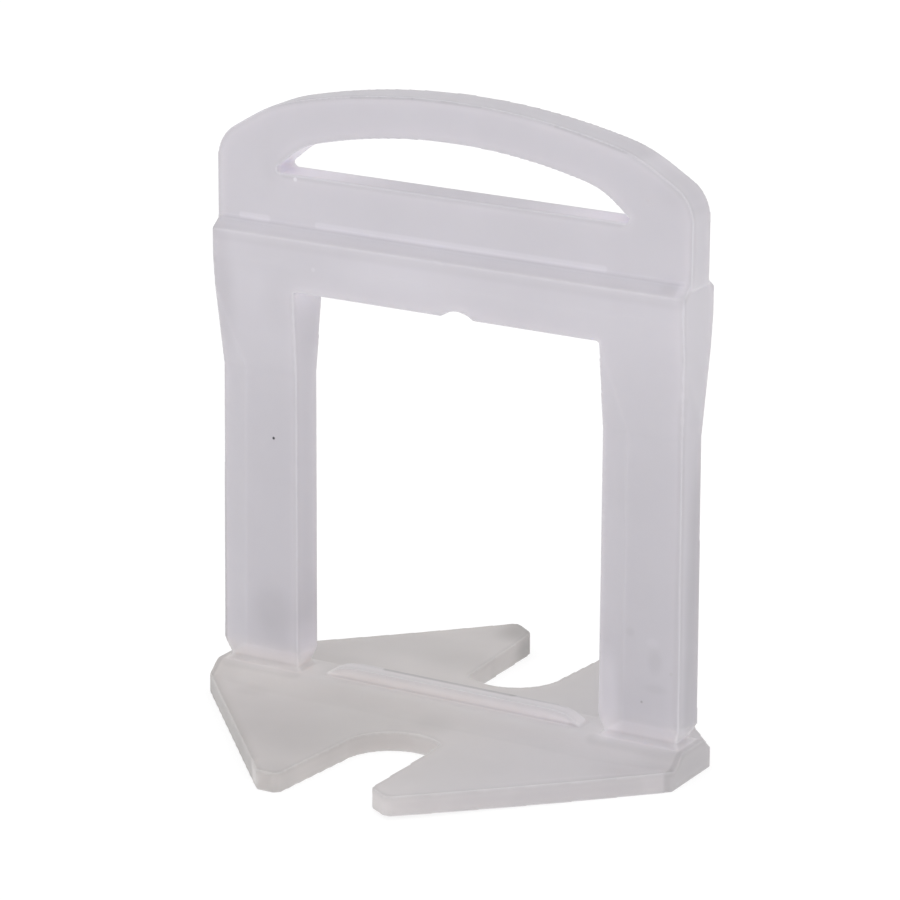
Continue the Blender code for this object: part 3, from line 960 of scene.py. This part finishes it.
    # Painted light and shade: light lines in the creases under the ledge, at the legs' feet and in front
    # of the rib; darker lines along the crossbar's top edge, the plate's and hooks' walls, the legs' outer
    # sides, the slot's floor and behind the rib; and a dark line along the arch's front edge.
    tone_and_shade_lines: tuple[ToneAndShadeLine, ...] = (
        ToneAndShadeLine((-17.2, -1.3, 36.54), (-15.0, -1.3, 36.54), 0.32, 1.090),
        ToneAndShadeLine((-10.8, -1.3, 36.56), (12.4, -1.3, 36.56), 0.32, 1.080),
        ToneAndShadeLine((-19.0, -2.28, 35.30), (18.6, -2.28, 35.30), 0.80, 0.955),
        ToneAndShadeLine((10.06, -11.71, 1.45), (15.4, -6.26, 1.47), 0.22, 1.030),
        ToneAndShadeLine((15.4, -6.26, 1.47), (18.6, -3.5, 1.47), 0.22, 1.030),
        ToneAndShadeLine((9.0, -14.1, 0.6), (17.3, -5.4, 0.6), 1.3, 0.980),
        ToneAndShadeLine((12.0, -11.0, 0.6), (17.3, -5.4, 0.6), 1.3, 0.975),
        ToneAndShadeLine((18.95, -0.9, 4.5), (18.95, -0.9, 26.0), 0.9, 0.980),
        ToneAndShadeLine((18.78, -1.42, 4.5), (18.78, -1.42, 28.0), 0.5, 0.950),
        ToneAndShadeLine((-3.15, 16.8, 0.6), (-2.45, 11.0, 0.6), 1.2, 0.930),
        ToneAndShadeLine((-18.6, -1.2, 2.5), (-12.6, -1.2, 2.5), 0.40, 1.060),
        ToneAndShadeLine((-18.6, -1.75, 2.4), (-12.6, -1.75, 2.4), 0.7, 0.930),
        ToneAndShadeLine((12.6, -1.2, 2.5), (18.6, -1.2, 2.5), 0.40, 1.060),
        ToneAndShadeLine((12.6, -1.9, 2.35), (18.6, -1.9, 2.35), 0.9, 0.930),
        ToneAndShadeLine((-13.5, -1.3, 39.99), (13.5, -1.3, 39.99), 0.45, 0.955),
        ToneAndShadeLine((-8.0, -1.3, 46.22), (-3.0, -1.3, 46.70), 0.13, 0.930),
        ToneAndShadeLine((-3.0, -1.3, 46.70), (2.5, -1.3, 46.76), 0.13, 0.930),
        ToneAndShadeLine((8.4, -1.3, 46.12), (13.9, -1.3, 44.96), 0.13, 0.930),
        ToneAndShadeLine((-10.3, -0.72, 2.44), (9.6, -0.72, 2.44), 0.30, 1.090),
        ToneAndShadeLine((-6.0, 0.52, 3.25), (4.5, 0.52, 3.25), 0.46, 0.740),
        ToneAndShadeLine((4.5, 0.52, 3.25), (8.8, 0.52, 3.25), 0.34, 0.860),
        ToneAndShadeLine((-19.4, -2.65, 0.4), (-7.6, -15.7, 0.4), 1.4, 0.710),
        ToneAndShadeLine((-19.0, -1.32, 36.28), (18.6, -1.32, 36.28), 0.32, 1.060),
    )

    def levels(
        self, sheet: NodeSheet, place: bpy.types.NodeSocket, axes: bpy.types.Node
    ) -> bpy.types.NodeSocket:
        """Gives painted light and shade by height and side: the legs darker towards the floor, the ledge,
        outer sides and arch top darker, the window's inner sides and the rib lighter.

        Args:
            sheet: The sheet to add nodes to.
            place: Coordinates to read.
            axes: Separate XYZ node of the coordinates.

        Returns:
            A factor near 1.
        """
        x, z = axes.outputs["X"], axes.outputs["Z"]
        side = sheet.math("ABSOLUTE", x)
        on_ledge = [band.factor(sheet, z) for band in self.ledge_heights]
        on_ledge = sheet.product(*on_ledge, self.ledge_end.factor(sheet, x))
        outside = sheet.ramp(side, *self.end_depths, 1.0, self.painted_side_shade.factor(sheet, z))
        in_window = [band.factor(sheet, z) for band in self.window_heights]
        in_window = sheet.product(*in_window, self.window_side.factor(sheet, side))
        to_centre = sheet.vector("MULTIPLY_ADD", place, (1.0, 0.0, 1.0), (0.0, 0.0, -self.arch_centre))
        from_centre = sheet.vector("LENGTH", to_centre.outputs["Vector"]).outputs["Value"]
        rim_low, rim_high = (self.arch_radius - depth for depth in self.crown_depths)
        on_rib = [band.factor(sheet, z) for band in self.rib_heights]
        on_rib = sheet.product(*on_rib, self.rib_side.factor(sheet, side))
        return sheet.product(
            *(band.factor(sheet, z) for band in self.painted_height_shade),
            sheet.ramp(on_ledge, 0.0, 1.0, 1.0, self.painted_ledge_shade),
            outside,
            sheet.ramp(in_window, 0.0, 1.0, 1.0, self.painted_window_light),
            sheet.ramp(from_centre, rim_low, rim_high, 1.0, self.painted_crown_shade),
            sheet.ramp(on_rib, 0.0, 1.0, 1.0, self.painted_rib_light),
        )

    def painted_crease_light_and_edge_shade(self, sheet: NodeSheet, edge: bpy.types.NodeSocket) -> bpy.types.NodeSocket:
        """Gives painted light that lightens the colour in creases, where shade falls, and painted shade on
        the sharp edges.

        Args:
            sheet: The sheet to add nodes to.
            edge: Value that is 1 on a sharp edge.

        Returns:
            A factor near 1.
        """
        kind = "ShaderNodeAmbientOcclusion"
        reach = {"Distance": self.crease_reach}
        # Painted light: the occlusion reading lightens the colour in creases to cancel their shade.
        open_air = sheet.add(kind, reach, samples=LIGHT_SAMPLES, only_local=True)
        crease = sheet.ramp(open_air.outputs["AO"], *self.crease_air, self.painted_crease_light, 1.0)
        # Painted shade: the colour is darkened on sharp edges so that they show no light line.
        shade = sheet.ramp(edge, 0.0, 1.0, 1.0, self.painted_edge_shade)
        return sheet.math("MULTIPLY", crease, shade)

    def edges(self, sheet: NodeSheet, axes: bpy.types.Node) -> bpy.types.NodeSocket:
        """Finds the moulded edges, those of the legs' shafts a little less than the others.

        Args:
            sheet: The sheet to add nodes to.
            axes: Separate XYZ node of the coordinates.

        Returns:
            A value from 0 on open faces to 1 on a sharp edge.
        """
        kind = "ShaderNodeAmbientOcclusion"
        reach = {"Distance": self.edge_reach}
        within = sheet.add(kind, reach, samples=LIGHT_SAMPLES, inside=True, only_local=True)
        near = sheet.ramp(within.outputs["AO"], *self.edge_air, 1.0, 0.0)
        foot, head = (band.factor(sheet, axes.outputs["Z"]) for band in self.leg_edges)
        return sheet.math("MULTIPLY", near, sheet.math("MAXIMUM", foot, head))

    def material(self) -> bpy.types.Material:
        """Builds the material on Object coordinates.

        Returns:
            The finished material.
        """
        made = bpy.data.materials.new(FINISH_SLOT)
        made.use_nodes = True
        sheet = NodeSheet(made.node_tree)
        shader = made.node_tree.nodes["Principled BSDF"]
        place = sheet.add("ShaderNodeTexCoord").outputs["Object"]
        axes = sheet.add("ShaderNodeSeparateXYZ", {0: place})
        height = self.foot_height.factor(sheet, axes.outputs["Z"])
        across = self.foot_across.factor(sheet, axes.outputs["X"])
        colour = sheet.mix(height, sheet.mix(across, self.foot, self.right_foot), self.body)
        milky = sheet.noise(place, self.milk_waves, 3.0)
        tone = sheet.ramp(milky, *self.noise_span, 1.0 - self.milkiness, 1.0 + self.milkiness)
        tone = sheet.math("MULTIPLY", tone, self.levels(sheet, place, axes))
        edge = self.edges(sheet, axes)
        tone = sheet.math("MULTIPLY", tone, self.painted_crease_light_and_edge_shade(sheet, edge))
        # Painted light and shade, with some of the plastic's own cloudiness, from the patches and lines.
        for mark in self.tone_and_shade_clouds + self.tone_and_shade_lines:
            tone = sheet.math("MULTIPLY", tone, mark.factor(sheet, place))
        colour = sheet.scaled(colour, tone)
        for fleck in self.flecks:
            centre = tuple(part * MM for part in fleck.place)
            apart = sheet.vector("DISTANCE", place, centre).outputs["Value"]
            radius = fleck.radius * MM
            near = sheet.ramp(apart, radius * fleck.CORE, radius, fleck.strength, 0.0)
            colour = sheet.mix(near, colour, fleck.tint)
        made.node_tree.links.new(colour, shader.inputs["Base Color"])
        patches = sheet.noise(place, self.patch_waves, 4.0)
        least, most = self.roughness - self.roughness_change, self.roughness + self.roughness_change
        matt = sheet.ramp(patches, *self.noise_span, least, most)
        made.node_tree.links.new(matt, shader.inputs["Roughness"])
        grain = sheet.noise(place, self.grain_waves, 2.0)
        hollows = {"Strength": self.grain_strength, "Distance": self.grain_depth, "Height": grain}
        bump = sheet.add("ShaderNodeBump", hollows)
        made.node_tree.links.new(bump.outputs[0], shader.inputs["Normal"])
        shader.inputs["IOR"].default_value = self.refraction
        shader.inputs["Specular IOR Level"].default_value = self.gloss
        made.node_tree.links.new(sheet.math("SUBTRACT", 1.0, edge), shader.inputs["Subsurface Weight"])
        shader.inputs["Subsurface Radius"].default_value = self.scatter_colour
        shader.inputs["Subsurface Scale"].default_value = self.scatter_depth
        return made


@dataclass
class LevellingClip:
    """The whole clip: its blanks, melted into one skin with soft edges."""

    tree: PlateTree
    finish: NaturalPolypropylene
    voxel: float = 0.1 * MM
    softness: float = 0.5
    softening: int = 3
    most_faces: int = 170_000

    def __post_init__(self) -> None:
        """Sizes the parts from each other."""
        self.plate = BasePlate()
        self.ridge = Ridge(self.plate)
        self.rib = JointRib(self.ridge)
        self.crossbar = Crossbar()
        self.leg = Leg(self.ridge, self.crossbar)
        self.handle = Handle(self.crossbar)

    def blanks(self) -> list[bpy.types.Mesh]:
        """Builds every blank."""
        made = [
            self.plate.build(self.tree),
            self.ridge.build(self.tree),
            self.rib.build(self.tree),
            self.leg.build("left_leg", 0.0),
            self.leg.build("right_leg", math.pi),
            self.crossbar.build(self.tree),
            self.handle.build(self.tree),
        ]
        for mesh in made:
            log.info("%s: %d faces", mesh.name, len(mesh.polygons))
        return made

    def skin(self) -> bpy.types.Object:
        """Melts the blanks into one closed skin.

        Returns:
            The clip as one object at the origin.
        """
        form = bmesh.new()
        for mesh in self.blanks():
            form.from_mesh(mesh)
            bpy.data.meshes.remove(mesh)
        bmesh.ops.triangulate(form, faces=form.faces)
        whole = bpy.data.meshes.new("blanks")
        form.to_mesh(whole)
        form.free()
        holder = placed("blanks", whole)
        melt = holder.modifiers.new("melt", "REMESH")
        melt.mode = "VOXEL"
        melt.voxel_size = self.voxel
        soften = holder.modifiers.new("soften", "SMOOTH")
        soften.factor = self.softness
        soften.iterations = self.softening
        fine = baked(holder, "fine")
        holder = placed("fine", fine)
        thin = holder.modifiers.new("thin", "DECIMATE")
        thin.ratio = min(1.0, self.most_faces / (2 * len(fine.polygons)))
        mesh = baked(holder, "moulded_clip")
        for vertex in mesh.vertices:
            vertex.co.z += self.plate.lift(*vertex.co)
        mesh.shade_smooth()
        return placed("moulded_clip", mesh)

    def build(self) -> bpy.types.Object:
        """Makes the clip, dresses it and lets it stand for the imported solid.

        Returns:
            The finished clip.
        """
        clip = self.skin()
        clip.data.materials.clear()
        clip.data.materials.append(self.finish.material())
        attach(clip, "root")
        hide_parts(CAD_NODE)
        log.info("%s: %d faces", clip.name, len(clip.data.polygons))
        return clip


@dataclass
class Camera:
    """The camera at the photograph's place, with angles in degrees, lens and sensor in millimetres."""

    azimuth: float = 30.084
    elevation: float = 17.09
    roll: float = -0.332
    distance: float = 327.34 * MM
    lens: float = 183.6
    sensor: float = 36.0
    seen_range: Point2 = (0.01, 20.0)
    aim: Point3 = (0.0, 0.0, 22.0 * MM)
    aside: Point2 = (0.461 * MM, 0.766 * MM)

    def build(self) -> bpy.types.Object:
        """Makes the camera and makes it the scene's own.

        Returns:
            The camera.
        """
        a, r = math.radians(self.azimuth), math.radians(self.roll)
        back = direction(self.azimuth, self.elevation)
        right = Vector((math.cos(a), math.sin(a), 0.0))
        up = back.cross(right)
        place = Vector(self.aim) + back * self.distance - right * self.aside[0] - up * self.aside[1]
        turned_right = right * math.cos(r) - up * math.sin(r)
        turned_up = right * math.sin(r) + up * math.cos(r)
        data = bpy.data.cameras.new("camera")
        data.lens = self.lens
        data.sensor_width = self.sensor
        data.clip_start, data.clip_end = self.seen_range
        camera = placed("camera", data)
        turn = Matrix((turned_right, turned_up, back)).transposed().to_4x4()
        camera.matrix_world = Matrix.Translation(place) @ turn
        bpy.context.scene.camera = camera
        return camera


@dataclass
class Studio:
    """A pale light table under a soft white tent that is brightest overhead, and a soft lamp in front."""

    floor_side: float = 3.0
    floor_tone: Colour = (0.3, 0.3, 0.3)
    floor_roughness: float = 0.9
    floor_gloss: float = 0.1
    floor_glow: float = 0.75
    around: float = 0.64
    overhead: float = 0.40
    in_front: float = 0.28
    lamp_power: float = 0.35
    lamp_side: float = 0.25
    lamp_azimuth: float = 45.0
    lamp_elevation: float = 20.0
    lamp_distance: float = 0.7

    def floor(self) -> bpy.types.Object:
        """Lays the floor.

        Returns:
            The floor, which isn't part of the object.
        """
        half = self.floor_side / 2
        mesh = bpy.data.meshes.new("floor")
        corners = [(-half, -half, 0.0), (half, -half, 0.0), (half, half, 0.0), (-half, half, 0.0)]
        mesh.from_pydata(corners, [], [(0, 1, 2, 3)])
        made = bpy.data.materials.new("pale_floor")
        made.use_nodes = True
        shader = made.node_tree.nodes["Principled BSDF"]
        shader.inputs["Base Color"].default_value = (*self.floor_tone, 1.0)
        shader.inputs["Roughness"].default_value = self.floor_roughness
        shader.inputs["Specular IOR Level"].default_value = self.floor_gloss
        shader.inputs["Emission Color"].default_value = (1.0, 1.0, 1.0, 1.0)
        shader.inputs["Emission Strength"].default_value = self.floor_glow
        mesh.materials.append(made)
        floor = placed("floor", mesh)
        return floor

    def tent(self) -> None:
        """Sets the white tent."""
        world = bpy.data.worlds.new("studio")
        bpy.context.scene.world = world
        world.use_nodes = True
        sheet = NodeSheet(world.node_tree)
        ray = sheet.add("ShaderNodeTexCoord").outputs["Generated"]
        axes = sheet.add("ShaderNodeSeparateXYZ", {0: ray})
        front = sheet.math("MULTIPLY", axes.outputs["Y"], -1.0)
        top = sheet.ramp(axes.outputs["Z"], 0.0, 1.0, 0.0, self.overhead)
        ahead = sheet.ramp(front, 0.0, 1.0, 0.0, self.in_front)
        strength = sheet.math("ADD", sheet.math("ADD", top, ahead), self.around)
        backdrop = world.node_tree.nodes["Background"]
        backdrop.inputs["Color"].default_value = (1.0, 1.0, 1.0, 1.0)
        world.node_tree.links.new(strength, backdrop.inputs["Strength"])

    def lamp(self) -> None:
        """Hangs the soft lamp."""
        data = bpy.data.lights.new("soft_lamp", "AREA")
        data.shape = "SQUARE"
        data.size = self.lamp_side
        data.energy = self.lamp_power
        lamp = placed("soft_lamp", data)
        towards = direction(self.lamp_azimuth, self.lamp_elevation)
        lamp.location = towards * self.lamp_distance
        lamp.rotation_euler = towards.to_track_quat("Z", "Y").to_euler()

    def build(self) -> None:
        """Sets floor, light and colour management."""
        self.floor()
        self.tent()
        self.lamp()
        bpy.context.scene.view_settings.view_transform = "Standard"


def main() -> None:
    """Builds the camera, the studio and the clip."""
    logging.basicConfig(level=logging.INFO, format="%(name)s: %(message)s")
    Camera().build()
    Studio().build()
    LevellingClip(PlateTree(), NaturalPolypropylene()).build()


if __name__ == "__main__":
    main()
